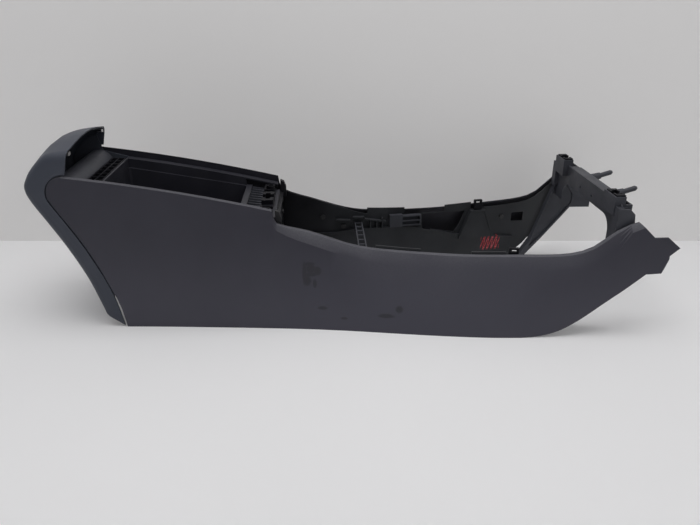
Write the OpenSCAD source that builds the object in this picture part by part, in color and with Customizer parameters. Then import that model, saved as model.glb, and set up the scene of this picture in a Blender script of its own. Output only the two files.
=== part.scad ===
// Floor console of a small car, as taken out: the armrest lid, the selector and the
// trim plates are off, so the storage bin, the inner frame and the front bridge show.
// X runs forward, Y to the left side, Z up. Stations count from the rear end.

/* [Overall] */
// Length from the rear cap to the front tips
console_length = 1046.4; // [1000:0.2:1100]
// Half of the width over the straight top rails
rail_half = 99; // [92:1:108]
// Half of the width between the shoulder edges at their narrowest
waist_half = 91; // [86:1:96]
// Half of the width between the shoulder edges at the front
nose_half = 149; // [140:1:156]
// Half of the width over the panel feet at the rear
foot_rear_half = 100; // [97:1:108]
// Half of the width over the panel feet at the front
foot_front_half = 173; // [166:1:180]

/* [Side profile] */
// Height of the top rail at its rear end
rail_height = 270; // [255:1:285]
// Fall of the top rail towards the front
rail_fall = 61; // [50:1:70]
// Station where the top rail ends in a step
step_station = 388; // [380:1:396]
// Depth of the step below the rail
step_depth = 24; // [18:1:28]
// Height of the shoulder edge at its lowest
dip_height = 133; // [126:1:140]
// Height of the shoulder peak at the front
peak_height = 200; // [194:1:206]
// Height of the shoulder band above the crease line
band_height = 25; // [18:1:30]

/* [Walls and gaps] */
// Wall of the side panels
panel_wall = 3; // [2.4:0.2:3.6]
// Wall of the rear cap
cap_wall = 3; // [2.4:0.2:3.6]
// Wall of the inner mouldings
inner_wall = 2.5; // [2:0.1:3]
// Fitting gap between two mouldings
seat_gap = 0.3; // [0.2:0.05:0.4]

/* [Rear cap] */
// Radius of the cap's rear corners
cap_corner = 14; // [10:1:20]
// Crown of the hood across its width
hood_crown = 11; // [6:1:14]

/* [Storage bin] */
// Station of the bin's rear wall
bin_start = 112; // [108:1:120]
// Station of the bin's front wall
bin_end = 336; // [320:1:344]
// Half of the width inside the bin
bin_half = 80; // [72:1:84]
// Depth of the bin below its rim
bin_depth = 168; // [120:2:180]
// Drop of the bin's rim below the rail
rim_drop = 12; // [9:1:16]
// Depth of the ledge that carries a tray
ledge_depth = 16; // [12:1:22]

/* [Front bridge] */
// Station of the bridge's rear face
bridge_station = 946; // [942:1:950]
// Height of the bridge's top edge
bridge_top = 222; // [216:1:226]
// Height of the bridge's rear web
bridge_web = 34; // [28:1:40]
// Depth of the bridge from rear face to front lip
bridge_depth = 26; // [20:1:32]
// Distance between the two locating pins
pin_spacing = 98; // [90:1:106]
// Length of a locating pin
pin_length = 42; // [34:1:48]
// Diameter of a locating pin
pin_dia = 9; // [8:0.5:10]
// Length of the tapered root of a locating pin
pin_boss = 22; // [16:1:26]
// Upward tilt of the locating pins
pin_tilt = 17; // [10:1:22]
// Distance between the two screw holes in the bridge
bridge_hole_spacing = 50; // [40:1:60]
// Diameter of the screw holes in the bridge
bridge_hole_dia = 4.5; // [4:0.1:5.5]

/* [Screws] */
// Shank diameter of the screws
screw_dia = 4; // [3.5:0.1:4.4]
// Head diameter of the screws
screw_head = 9; // [8:0.5:10]
// Diameter of the floor fixing holes in the bin
floor_hole_dia = 7; // [6:0.5:8]
// Distance between the floor fixing holes
floor_hole_spacing = 90; // [80:1:100]

/* [Hidden] */

charcoal = "#36373b";
cap_grey = "#454b52";
frame_grey = "#3c4144";
black = "#17181b";
steel = "#b8bcc0";

rear_overhang = 0.4 * hood_crown + 2;
front_tip = console_length - rear_overhang;
mid_station = console_length / 2 - rear_overhang;
sweep_steps = 52;
rail_start = 62;

// A smooth curve through the points of a table, read at station s
function span(s, p, i = 0) = (i >= len(p) - 2 || s < p[i + 1][0]) ? i : span(s, p, i + 1);
function rise(p, i) =
    i == 0 ? (p[1][1] - p[0][1]) / (p[1][0] - p[0][0])
    : i == len(p) - 1 ? (p[i][1] - p[i - 1][1]) / (p[i][0] - p[i - 1][0])
    : (p[i + 1][1] - p[i - 1][1]) / (p[i + 1][0] - p[i - 1][0]);
function curve(s, p) =
    let(
        i = span(s, p),
        h = p[i + 1][0] - p[i][0],
        t = min(1, max(0, (s - p[i][0]) / h)),
        a = 2 * pow(t, 3) - 3 * pow(t, 2) + 1,
        b = pow(t, 3) - 2 * pow(t, 2) + t,
        c = pow(t, 3) - pow(t, 2)
    )
    a * p[i][1] + b * h * rise(p, i) + (1 - a) * p[i + 1][1] + c * h * rise(p, i + 1);

// Heights of the panel's top edge and crease, and half widths of its main lines
rail_run = step_station - rail_start;
function rail_z(s) =
    let(u = (s - rail_start) / rail_run)
    rail_height - rail_fall * (0.69 * u + 0.31 * pow(u, 2));
rail_end_z = rail_height - rail_fall;
shoulder_z = rail_end_z - step_depth;
function fall(share) = dip_height + (shoulder_z - dip_height) * share;
shoulder_line = [
    [step_station, shoulder_z + 11], [step_station + 5, shoulder_z], [447, fall(0.67)], [513, fall(0.25)],
    [560, dip_height + 5], [690, dip_height], [800, dip_height + 4], [871, dip_height + 9],
    [905, dip_height + 20], [940, peak_height - 17], [968, peak_height]
];
function top_z(s) = s < step_station ? rail_z(s) : curve(s, shoulder_line);
crease_line = [
    [380, shoulder_z - 2], [414, fall(0.56)], [447, fall(0.31)], [513, dip_height - 7],
    [560, dip_height - band_height + 8], [640, dip_height - band_height + 1],
    [740, dip_height - band_height + 1], [824, dip_height - band_height + 4],
    [871, dip_height - band_height + 9], [905, dip_height - 11], [926, dip_height],
    [940, peak_height - 52], [953, peak_height - 23], [968, peak_height - 8]
];
function crease_z(s) = s < 380 ? shoulder_z - 2 : curve(s, crease_line);
edge_line = [
    [step_station, rail_half], [405, waist_half + 4], [437, waist_half], [511, waist_half + 4],
    [560, 100], [620, 108], [690, 119], [774, 132], [850, 144], [905, nose_half],
    [968, nose_half + 8]
];
function edge_y(s) = s < step_station ? rail_half : curve(s, edge_line);
crease_out = [
    [62, 0.5], [250, 2.5], [380, 5], [414, 10], [447, 13], [680, 13], [871, 12], [940, 10], [968, 9]
];
function crease_y(s) = edge_y(s) + curve(s, crease_out);
foot_line = [
    [0, foot_rear_half - 2], [127, foot_rear_half], [249, foot_rear_half + 8],
    [423, foot_rear_half + 23], [509, foot_rear_half + 34], [594, foot_rear_half + 48],
    [678, foot_front_half - 12], [760, foot_front_half - 3], [860, foot_front_half],
    [985, foot_front_half + 3], [1045, foot_front_half + 3]
];
function foot_y(s) = curve(s, foot_line);

// Closed skin between an outer and an inner sheet of points, both in rows
module skin(outer, inner) {
    rows = len(outer);
    cols = len(outer[0]);
    count = rows * cols;
    points = concat([for (r = outer) for (p = r) p], [for (r = inner) for (p = r) p]);
    quads = concat(
        [for (i = [0:rows - 2]) for (j = [0:cols - 2])
            [i * cols + j, i * cols + j + 1, (i + 1) * cols + j + 1, (i + 1) * cols + j]],
        [for (i = [0:rows - 2]) for (j = [0:cols - 2])
            [count + (i + 1) * cols + j, count + (i + 1) * cols + j + 1,
             count + i * cols + j + 1, count + i * cols + j]],
        [for (i = [0:rows - 2]) for (j = [0, cols - 1])
            let(a = i * cols + j, b = (i + 1) * cols + j)
            j == 0 ? [a, b, count + b, count + a] : [b, a, count + a, count + b]],
        [for (j = [0:cols - 2]) for (i = [0, rows - 1])
            let(a = i * cols + j, b = a + 1)
            i == 0 ? [b, a, count + a, count + b] : [a, b, count + b, count + a]]
    );
    faces = [for (q = quads) for (k = [0, 1]) k == 0 ? [q[0], q[1], q[2]] : [q[0], q[2], q[3]]];
    polyhedron(points = points, faces = faces);
}

// Side panel, one moulding with a rolled rail, a step and a rounded shoulder band
edge_roll = 2.2;
function wall_y(s, z) =
    let(
        low = crease_z(s),
        u = min(1, max(0, z / low)),
        bow = 1 - pow(u, 1.25)
    )
    crease_y(s) + (foot_y(s) - crease_y(s)) * bow;
function band_ring(s, inset) =
    let(
        low = crease_z(s),
        high = top_z(s),
        out = crease_y(s),
        in = edge_y(s)
    )
    concat(
        [for (u = [0, 0.25, 0.5, 0.75]) [s, -(wall_y(s, u * low) - inset), u * low]],
        [for (u = [0, 0.35, 0.7, 0.9])
            let(
                lift = low + (high - low - (inset > 0 ? 2 : 0)) * u,
                reach = s < step_station
                    ? out + (in - out) * min(1, u * 1.3)
                    : out + (in - out) * (0.7 * u + 0.3 * (1 - sqrt(1 - pow(u, 2))))
            )
            [s, -(reach - inset), lift]],
        inset > 0
            ? [[s, -(in - inset), high - edge_roll], [s, -(in - inset), high - 0.4]]
            : [[s, -(in - 0.1), high - edge_roll * 0.5], [s, -(in - edge_roll * 0.6), high]]
    );

right_side_stations = concat(
    [for (k = [0:10]) 28 + (step_station - 30) * k / 10],
    [step_station, step_station + 2, step_station + 5],
    [for (k = [1:sweep_steps - 14])
        step_station + 5 + (front_tip - 1 - step_station) * k / (sweep_steps - 14)]
);

rear_edge = [
    [0, 127], [43, 120], [79, 108], [111, 97], [163, 74], [206, 50], [226, 38.5], [234, 35.5]
];
nose_under = [
    [798, 0], [820, 1.5], [842, 5.5], [862, 12.5], [880, 22.5], [903, 38.5], [925, 56.5], [948, 76], [970, 95]
];
panel_corner = 30;
corner_station = 34.5;

module panel_outline() {
    rear_top = rail_height - panel_corner - 6;
    over = rail_height + 60;
    rear = [for (k = [0:13]) [curve(234 * k / 13, rear_edge), rear_top * k / 13]];
    round = [for (a = [0:15:90]) [
        corner_station + panel_corner * (1 - cos(a)), rail_height - panel_corner * (1 - sin(a))
    ]];
    front = [
        [968, over], [968, peak_height + 1], [981, peak_height - 11], [996, peak_height - 25],
        [1018, peak_height - 25], [front_tip, peak_height - 43], [front_tip - 15, peak_height - 56],
        [front_tip - 15, peak_height - 62], [front_tip - 21, peak_height - 79],
        [front_tip - 24, peak_height - 86], [991, peak_height - 87]
    ];
    under = [for (k = [21:-1:0]) let(s = 798 + 8.19 * k) [s, curve(s, nose_under)]];
    polygon(concat(rear, round, [[rail_start + 4, over]], front, under));
}

module side_panel() {
    outer = [for (s = right_side_stations) band_ring(s, 0)];
    inner = [for (s = right_side_stations) band_ring(s, panel_wall)];
    translate([-mid_station, 0, 0])
    intersection() {
        skin(outer, inner);
        rotate([90, 0, 0]) linear_extrude(height = foot_front_half + 50) panel_outline();
    }
}

module right_side_panel() {
    color(charcoal) side_panel();
}

module left_side_panel() {
    color(charcoal) mirror([0, 1, 0]) side_panel();
}

// Rear cap, one moulding swept round the rear end, with a crowned hood on top
// Columns: step of the sweep, station, height as a share of the rail's height
cap_outer = [
    [0, 77, 1.144], [1, 41, 1.122], [2, 16, 1.044], [3, 3, 0.974], [4, -2, 0.919], [5, 4, 0.841],
    [6, 24, 0.704], [7, 47, 0.541], [8, 70.5, 0.337], [9, 82.5, 0.189], [10, 90, 0.1]
];
cap_inner = [
    [0, 69, 1.011], [1, 56, 1.004], [2, 44, 0.978], [3, 35.5, 0.937], [4, 32.5, 0.889], [5, 36, 0.837],
    [6, 56, 0.707], [7, 79, 0.541], [8, 102, 0.337], [9, 114, 0.189], [10, 123, 0.0074]
];
function column(p, k) = [for (q = p) [q[0], q[k]]];
function cap_point(t, p) = [curve(t, column(p, 1)), rail_height * curve(t, column(p, 2))];

function cap_ring(t, inset) =
    let(
        o = cap_point(t, cap_outer),
        i = cap_point(t, cap_inner),
        reach = norm(o - i),
        dir = (o - i) / reach,
        r = cap_corner - inset,
        w = rail_half - inset,
        d = reach - inset,
        crown = hood_crown * (t < 4 ? 1 - t * 0.15 : 0.4),
        half = concat(
            [[-w, 0], [-w, (d - r) * 0.5]],
            [for (a = [0:18:90]) [-w + r - r * cos(a), d - r + r * sin(a)]],
            [[-w * 0.55, d + crown * 0.55], [-w * 0.28, d + crown * 0.88]]
        ),
        full = concat(half, [[0, d + crown]], [for (k = [len(half) - 1:-1:0]) [-half[k][0], half[k][1]]])
    )
    [for (q = full) [i[0] + dir[0] * q[1], q[0], i[1] + dir[1] * q[1]]];

module rear_cap() {
    steps = 30;
    outer = [for (k = [0:steps]) cap_ring(10 * k / steps, 0)];
    inner = [for (k = [0:steps]) cap_ring(10 * k / steps, cap_wall)];
    color(cap_grey) translate([-mid_station, 0, 0]) skin(inner, outer);
}

// Placing: everything below is drawn at its station and moved back by half the length
module placed() { translate([-mid_station, 0, 0]) children(); }
module both_sides() { children(); mirror([0, 1, 0]) children(); }

// A side view outline, given as stations and heights, drawn across the width
module across(from_y, to_y) {
    translate([0, to_y, 0]) rotate([90, 0, 0]) linear_extrude(height = to_y - from_y) children();
}

// A strip that follows the rail between two stations
module rail_strip(from_s, to_s, drop, thick) {
    n = 8;
    stations = [for (k = [0:n]) from_s + (to_s - from_s) * k / n];
    polygon(concat(
        [for (k = [0:n]) [stations[k], rail_z(stations[k]) - drop]],
        [for (k = [n:-1:0]) [stations[k], rail_z(stations[k]) - drop - thick]]
    ));
}

// Block between two corners with upright round edges
module round_block(from, to, r) {
    size = to - from;
    translate([from[0] + r, from[1], from[2]]) cube([size[0] - 2 * r, size[1], size[2]]);
    translate([from[0], from[1] + r, from[2]]) cube([size[0], size[1] - 2 * r, size[2]]);
    for (x = [from[0] + r, to[0] - r]) for (y = [from[1] + r, to[1] - r])
        translate([x, y, from[2]]) cylinder(r = r, h = size[2], $fn = 32);
}

// A plank between two points of a side view, standing off the wall it lies on
module rib(p, q, thick, height) {
    run = q - p;
    translate([p[0], 0, p[1]]) rotate([0, -atan2(run[1], run[0]), 0])
        translate([0, -height, -thick / 2]) cube([norm(run), height, thick]);
}

// Screw with a pan head: the head's seat is at the origin and the shank points along +X
screw_head_height = 3;
shank_play = 0.3;
module screw(length) {
    rotate([0, 90, 0]) {
        cylinder(d = screw_dia, h = length, $fn = 24);
        translate([0, 0, -screw_head_height]) cylinder(d = screw_head, h = screw_head_height, $fn = 24);
    }
}
module screw_hole(length, play) {
    translate([-1, 0, 0]) rotate([0, 90, 0]) cylinder(d = screw_dia + play, h = length + 2, $fn = 24);
}

// Storage bin: drawn liner with a tray ledge, sloping flanges, a lip and a front shelf
rail_inner = rail_half - panel_wall - seat_gap;
bin_floor = rail_z(bin_start) - rim_drop - bin_depth;
bin_low_half = bin_half - 4;
flange_thick = 2.5;
ledge_drop = rim_drop + ledge_depth;
hoop_start = step_station + 2;
hoop_thick = 2.5;
shelf_z = shoulder_z + 3;
shelf_end = hoop_start - seat_gap;
shelf_skirt = 50;
lip_z = shelf_z + 9;
lip_width = 8;
lip_start = bin_end - lip_width;
floor_hole_station = (bin_start + bin_end) / 2;
frame_screw_y = 66;
frame_screw_drops = [16, 40];
bin_screw_y = 50;
bin_screw_z = rail_z(bin_start) - 60;

module bin_rim_side() {
    polygon(concat(
        [[bin_start, bin_floor], [bin_end + inner_wall, bin_floor], [bin_end + inner_wall, lip_z],
         [lip_start, lip_z]],
        [for (k = [8:-1:0])
            let(s = bin_start + (lip_start - 2 - bin_start) * k / 8)
            [s, rail_z(s) - rim_drop]]
    ));
}

module above_ledge(extra) {
    polygon([
        [bin_start - 1, rail_z(bin_start) - ledge_drop - extra],
        [bin_end + 10, rail_z(bin_end) - ledge_drop - extra],
        [bin_end + 10, rail_height + 60], [bin_start - 1, rail_height + 60]
    ]);
}

module storage_bin() {
    w = inner_wall;
    color(black) placed() difference() {
        union() {
            intersection() {
                across(-bin_half - w, bin_half + w) bin_rim_side();
                across(-bin_half - w, bin_half + w) above_ledge(w);
            }
            intersection() {
                round_block([bin_start, -bin_low_half - w, bin_floor],
                    [bin_end + w, bin_low_half + w, rail_height], 14);
                across(-bin_half - w, bin_half + w) difference() {
                    bin_rim_side();
                    above_ledge(w / 2);
                }
            }
            both_sides() across(bin_half, rail_inner)
                rail_strip(bin_start, step_station - 2, rim_drop, flange_thick);
            translate([bin_end, -bin_low_half, shelf_z - flange_thick])
                cube([shelf_end - bin_end, 2 * bin_low_half, flange_thick]);
            translate([shelf_end - w, -bin_low_half, shelf_z - shelf_skirt])
                cube([w, 2 * bin_low_half, shelf_skirt]);
            for (y = [-50, 0, 50]) translate([bin_end + w / 2, y - 1, shelf_z - shelf_skirt + 10])
                cube([shelf_end - bin_end - w, 2, shelf_skirt - 10 - flange_thick / 2]);
        }
        intersection() {
            translate([bin_start + w, -bin_half, bin_floor])
                cube([lip_start - bin_start - w, 2 * bin_half, rail_height]);
            across(-bin_half, bin_half) above_ledge(0);
        }
        round_block([bin_start + w, -bin_low_half, bin_floor + w],
            [bin_end, bin_low_half, lip_z - 4], 12);
        round_block([bin_start + w, -bin_low_half, bin_floor + w],
            [lip_start, bin_low_half, rail_height], 6);
        both_sides() translate([floor_hole_station, floor_hole_spacing / 2, bin_floor - 1])
            cylinder(d = floor_hole_dia, h = w + 2, $fn = 32);
        both_sides() for (drop = frame_screw_drops)
            translate([shelf_end - w, frame_screw_y, shelf_z - drop]) screw_hole(w, 0.1);
        both_sides() translate([bin_start, bin_screw_y, bin_screw_z]) screw_hole(w, 0.1);
    }
}

// Rear carrier: two cheeks behind the cap and the panels, a cross wall and a shelf
cheek_y = rail_half - cap_wall - seat_gap;
carrier_end = bin_start - seat_gap;
carrier_wall_s = carrier_end - inner_wall;
mount_z = rail_z(bin_start) - rim_drop - 16;
mount_start = 86;
function cheek_edge(t) =
    let(o = cap_point(t, cap_outer), i = cap_point(t, cap_inner), reach = norm(o - i))
    i + (o - i) / reach * (reach - cap_corner - 0.5);

module rear_carrier() {
    w = inner_wall;
    color(black) placed() difference() {
        union() {
            both_sides() across(cheek_y - w, cheek_y) polygon(concat(
                [for (t = [0.5:0.5:9]) cheek_edge(t)],
                [[carrier_end, 50], [carrier_end, rail_z(carrier_end) - rim_drop],
                 [68, rail_z(68) - 6]]
            ));
            translate([carrier_wall_s, -cheek_y + 1, 60]) cube([w, 2 * cheek_y - 2, mount_z - 60]);
            translate([36, -cheek_y + 1, mount_z - w])
                cube([carrier_end - 36, 2 * cheek_y - 2, w]);
            for (y = [-75, -25, 25, 75]) across(y - 1, y + 1)
                polygon([
                    [40, mount_z - w / 2], [62, mount_z - 50], [86, 120],
                    [carrier_wall_s + w / 2, 72], [carrier_wall_s + w / 2, mount_z - w / 2]
                ]);
        }
        for (y = hinge_screw_ys) translate([hinge_screw_s, y, mount_z - w]) rotate([0, -90, 0])
            screw_hole(w, 0.1);
        both_sides() translate([carrier_wall_s, bin_screw_y, bin_screw_z])
            screw_hole(w, shank_play);
    }
}

// Hinge mount: a lattice of open cells behind the bin that carries the armrest hinge
lattice_rows = 8;
lattice_half = 80;
lattice_rib = 2;
lattice_len = carrier_end - mount_start;
lattice_top = rail_z(100) - rim_drop - 1;
cell_y = (2 * lattice_half - lattice_rib) / lattice_rows;
cell_s = (lattice_len - lattice_rib) / 2;
function cell_mid_y(j) = -lattice_half + lattice_rib / 2 + cell_y * (j + 0.5);
hinge_screw_s = mount_start + (lattice_rib + cell_s) / 2;
hinge_screw_ys = [for (j = [0, 2, 5, 7]) cell_mid_y(j)];

module hinge_mount() {
    color(black) placed() difference() {
        translate([mount_start, -lattice_half, mount_z])
            cube([lattice_len, 2 * lattice_half, lattice_top - mount_z]);
        for (i = [0, 1]) for (j = [0:lattice_rows - 1])
            translate([
                mount_start + lattice_rib + i * cell_s,
                -lattice_half + lattice_rib + j * cell_y,
                mount_z + inner_wall
            ])
                cube([cell_s - lattice_rib, cell_y - lattice_rib, lattice_top]);
        for (y = hinge_screw_ys) translate([hinge_screw_s, y, mount_z]) rotate([0, -90, 0])
            screw_hole(inner_wall, shank_play);
    }
}

module hinge_screws() {
    color(steel) placed() for (y = hinge_screw_ys)
        translate([hinge_screw_s, y, mount_z + inner_wall]) rotate([0, 90, 0]) screw(10);
}

module bin_screws() {
    color(steel) placed() both_sides()
        translate([carrier_wall_s, bin_screw_y, bin_screw_z]) screw(10);
}

// Hinge cover: a rounded shell across the rear, between the cap and the hinge mount
cover_half = cheek_y - inner_wall - seat_gap;
cover_radius = 26;
cover_foot = rail_z(rail_start) - 5 - cover_radius - mount_z;
module cover_profile(r, foot) {
    intersection() {
        circle(r = r, $fn = 64);
        translate([-r, 0]) square([2 * r, r]);
    }
    translate([-r, -foot]) square([2 * r, foot]);
}

module hinge_cover() {
    color(frame_grey) placed() translate([mount_start - seat_gap - cover_radius, 0, mount_z + cover_foot])
        across(-cover_half, cover_half) difference() {
            cover_profile(cover_radius, cover_foot);
            cover_profile(cover_radius - inner_wall, cover_foot + 1);
        }
}

// Cap clips: sprung steel clips under the corners of the hood
clip_width = 9;
clip_length = 14;
clip_start = 62;
clip_tilt = 11;
clip_z = cap_point(0.3, cap_outer)[1] - cap_wall - 0.2;
module cap_clips() {
    color(steel) placed() both_sides()
        translate([clip_start, rail_half - cap_corner - 2, clip_z]) rotate([-clip_tilt, 0, 0]) {
            translate([0, -clip_width / 2, -1]) cube([clip_length, clip_width, 1]);
            translate([clip_length - 1, -clip_width / 2, -5]) cube([1, clip_width, 4.5]);
            translate([5, -clip_width / 2, -5]) cube([clip_length - 5.5, clip_width, 1]);
        }
}

// Ribbed plate on the bin's front shelf
rib_plate_half = 72;
rib_plate_depth = 24;
rib_pitch = 13;
rib_plate_start = bin_end + inner_wall + seat_gap;
rib_plate_end = rib_plate_start + rib_plate_depth;
module rib_plate() {
    color(frame_grey) placed() {
        translate([rib_plate_start, -rib_plate_half, shelf_z])
            cube([rib_plate_end - rib_plate_start, 2 * rib_plate_half, 2]);
        for (k = [0:11]) across(-rib_plate_half + k * rib_pitch, -rib_plate_half + k * rib_pitch + 1.6)
            polygon([
                [rib_plate_start, shelf_z + 1], [rib_plate_end, shelf_z + 1],
                [rib_plate_end, shelf_z + 4], [rib_plate_start, shelf_z + 8]
            ]);
    }
}

// Latch block in the middle of the shelf, with its catch slot
block_start = rib_plate_end + seat_gap;
module latch_block() {
    color(black) placed() difference() {
        union() {
            translate([block_start, -24, shelf_z]) cube([20, 48, 13]);
            translate([block_start, -34, shelf_z]) cube([20, 68, 5]);
        }
        translate([block_start + 5, -15, shelf_z + 3]) cube([9, 30, 20]);
        translate([block_start - 1, -9, shelf_z + 8]) cube([30, 18, 20]);
    }
}

// Stop brackets beside the latch block, each with an arm and a round buffer
module stop_bracket() {
    buffer_y = 66;
    placed() difference() {
        union() {
            translate([block_start, 44, shelf_z]) cube([20, 31, 3]);
            translate([block_start, 44, shelf_z + 2]) cube([3, 31, 9]);
            translate([block_start + 11, buffer_y, shelf_z + 2]) cylinder(d = 15, h = 10, $fn = 32);
            translate([block_start + 2, 52, shelf_z + 2]) cube([16, 2, 6]);
        }
        translate([block_start + 11, buffer_y, shelf_z + 6]) cylinder(d = 10, h = 10, $fn = 32);
    }
}
module left_stop_bracket() { color(black) stop_bracket(); }
module right_stop_bracket() { color(black) mirror([0, 1, 0]) stop_bracket(); }

// Lines of the inner frame: it hangs inside the shoulder edges, one wall each side
function inner_y(s) = edge_y(s) - panel_wall - seat_gap;
function wall_angle(s) = atan2(inner_y(s + 5) - inner_y(s - 5), 10);
module on_wall(s) {
    translate([s, inner_y(s), 0]) rotate([0, 0, wall_angle(s)]) children();
}
frame_start = hoop_start + hoop_thick / 2;
wall_split = 866;
wall_end = 940;
ledge_step = 6;
ledge_line = [
    [frame_start, 96], [500, 93], [520, 97], [600, 98], [669, 93], [737, 73], [wall_split, 57]
];
function ledge_z(s) = curve(s, ledge_line);
frame_foot = 16;
nose_low_line = [[wall_split, 20], [905, 60], [wall_end, 140]];

frame_drop = [[frame_start, 1.5], [505, 1.5], [562, 9], [wall_end, 10]];
function frame_top(s) = top_z(s) - curve(s, frame_drop);
tab_rise = 4;
rail_tabs = [[557, 632], [715, 770]];
function low_edge(s) = s <= wall_split ? frame_foot : curve(s, nose_low_line);
frame_stations = concat(
    [frame_start],
    [for (s = right_side_stations) if (s > frame_start + 3 && s < wall_split - 3) s],
    [wall_split],
    [for (s = right_side_stations) if (s > wall_split + 3 && s < wall_end - 3) s],
    [wall_end]
);

// Upright strip in plan that follows the shoulder edge between two insets
module plan_strip(outer_inset, inner_inset, reach) {
    n = len(frame_stations);
    line = [for (k = [0:n - 1]) let(s = frame_stations[k])
        [s + (k == 0 ? -reach : k == n - 1 ? reach : 0), inner_y(s)]];
    linear_extrude(height = 300) polygon(concat(
        [for (k = [0:n - 1]) [line[k][0], line[k][1] - outer_inset]],
        [for (k = [n - 1:-1:0]) [line[k][0], line[k][1] - inner_inset]]
    ));
}

// Wall of the inner frame: upper strip, ledge, and a lower strip set further in
module frame_wall() {
    n = len(frame_stations);
    w = inner_wall;
    body = [for (s = frame_stations) if (s <= wall_split) s];
    m = len(body);
    difference() {
        intersection() {
            plan_strip(0, ledge_step + w, 0);
            across(0, 300) {
                polygon(concat(
                    [for (s = frame_stations) [s, frame_top(s)]],
                    [for (k = [n - 1:-1:m]) [frame_stations[k], low_edge(frame_stations[k])]],
                    [[wall_split, frame_foot], [frame_start, frame_foot]]
                ));
                for (tab = rail_tabs) {
                    spots = [for (k = [0:4]) tab[0] + (tab[1] - tab[0]) * k / 4];
                    polygon(concat(
                        [for (s = spots) [s, top_z(s) + tab_rise]],
                        [for (k = [4:-1:0]) [spots[k], frame_top(spots[k]) - tab_rise]]
                    ));
                }
            }
        }
        intersection() {
            plan_strip(w, ledge_step + w + 9, 5);
            across(0, 300) polygon(concat(
                [[frame_start - 5, ledge_z(frame_start) + w]],
                [for (s = body) [s, ledge_z(s) + w]],
                [[wall_split, 1], [wall_end + 5, 1], [wall_end + 5, 290], [frame_start - 5, 290]]
            ));
        }
        intersection() {
            plan_strip(-9, ledge_step, 5);
            across(0, 300) polygon(concat(
                [[frame_start - 5, ledge_z(frame_start)]],
                [for (s = body) [s, ledge_z(s)]],
                [[wall_split, 1], [frame_start - 5, 1]]
            ));
        }
    }
}

tower_station = 783;
tower_depth = 10;
tower_foot = 39;
tower_head = 16;
tower_low = 70;
tower_top = 124;
tower_rim = 3;
guide_start = 600;
guide_end = 664;
guide_low = 101.3;

// Raised clip tower: a trapezoid standing off the wall, rimmed in front and open behind
module tower_outline(inset) {
    polygon([
        [inset * 1.5 - tower_foot, tower_low - 5], [tower_foot - inset * 1.5, tower_low - 5],
        [tower_head - inset, tower_top - inset], [inset - tower_head, tower_top - inset]
    ]);
}
module clip_tower() {
    on_wall(tower_station) difference() {
        across(-tower_depth - inner_wall, -inner_wall / 2) tower_outline(0);
        across(-tower_depth - inner_wall - 1, -tower_depth - 1.3) tower_outline(tower_rim);
    }
}
module clip_tower_inside() {
    on_wall(tower_station) across(-tower_depth + 0.5, 12) intersection() {
        tower_outline(tower_rim);
        translate([-tower_foot, tower_low + 6]) square([2 * tower_foot, tower_top]);
    }
}

// Strut from the foot of the wall up to the bridge, a broad bar with raised edges
strut_depth = 13;
strut_rim = 4;
module strut() {
    on_wall(wall_end) translate([-wall_end, 0, 0]) difference() {
        across(-strut_depth, -inner_wall / 4) polygon([
            [882, 7], [926, 55], [973, 110], [986, 126], [986, 150], [960, 186], [946, 186], [903, 55], [876, 14]
        ]);
        across(-strut_depth - 1, strut_rim - strut_depth) polygon([
            [901, 36], [924, 58.5], [971, 113], [983, 128.5], [983, 149], [958, 182], [948.5, 182], [906, 54]
        ]);
    }
}

// Fittings for cables on the wall's upper strip, as thin ledges and ribs
wall_fittings = [
    [[495, 122], [523, 120]], [[527, 126], [550, 125]], [[550, 121], [593, 114]],
    [[562, 99], [562, 116]], [[575, 99], [575, 115]], [[586, 99], [586, 122]]
];
module cable_fittings() {
    for (f = wall_fittings) {
        mid = (f[0][0] + f[1][0]) / 2;
        on_wall(mid) translate([-mid, -inner_wall / 2, 0]) rib(f[0], f[1], 2.5, 9);
    }
}

bridge_low = bridge_top - bridge_web;
pin_z = bridge_top - 14;
pin_root = bridge_station + bridge_depth - 2;
bridge_hole_z = bridge_low + 12;
leg_inner = 104;
leg_outer = 146;
leg_low = 150;
box_start = bridge_station - 10;
box_depth = 30;
box_inner = 91;
box_outer = 134;
bridge_half = box_inner + inner_wall / 2;
wing_y = 145;

// Rear web of the bridge with rounded corners into its legs
module bridge_web_half() {
    difference() {
        polygon([
            [-0.01, bridge_low], [leg_inner - 26, bridge_low], [leg_inner, bridge_low - 26],
            [leg_inner, leg_low], [leg_outer - 6, leg_low], [leg_outer, 192],
            [leg_outer - 4, 212], [box_outer, bridge_top], [-0.01, bridge_top]
        ]);
        translate([leg_inner - 26, bridge_low - 26]) circle(r = 26, $fn = 64);
    }
}

module bridge() {
    w = inner_wall;
    translate([bridge_station, 0, 0]) rotate([90, 0, 90]) linear_extrude(height = w) {
        bridge_web_half();
        mirror([1, 0]) bridge_web_half();
    }
    across(-bridge_half, bridge_half) polygon([
        [bridge_station + w / 2, bridge_top - w], [bridge_station + bridge_depth, bridge_top - w - 4],
        [bridge_station + bridge_depth, bridge_top - 4], [bridge_station + w / 2, bridge_top]
    ]);
    across(-bridge_half, bridge_half) polygon([
        [bridge_station + bridge_depth - w, bridge_low + 8], [bridge_station + bridge_depth, bridge_low + 8],
        [bridge_station + bridge_depth, bridge_top - 5], [bridge_station + bridge_depth - w, bridge_top - 5]
    ]);
    for (y = [-75, -12, 12, 75]) across(y - 1, y + 1) polygon([
        [bridge_station + w / 2, bridge_low + 2], [bridge_station + bridge_depth - 1, bridge_low + 10],
        [bridge_station + bridge_depth - 1, bridge_top - w - 3], [bridge_station + w / 2, bridge_top - 1]
    ]);
}

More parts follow.
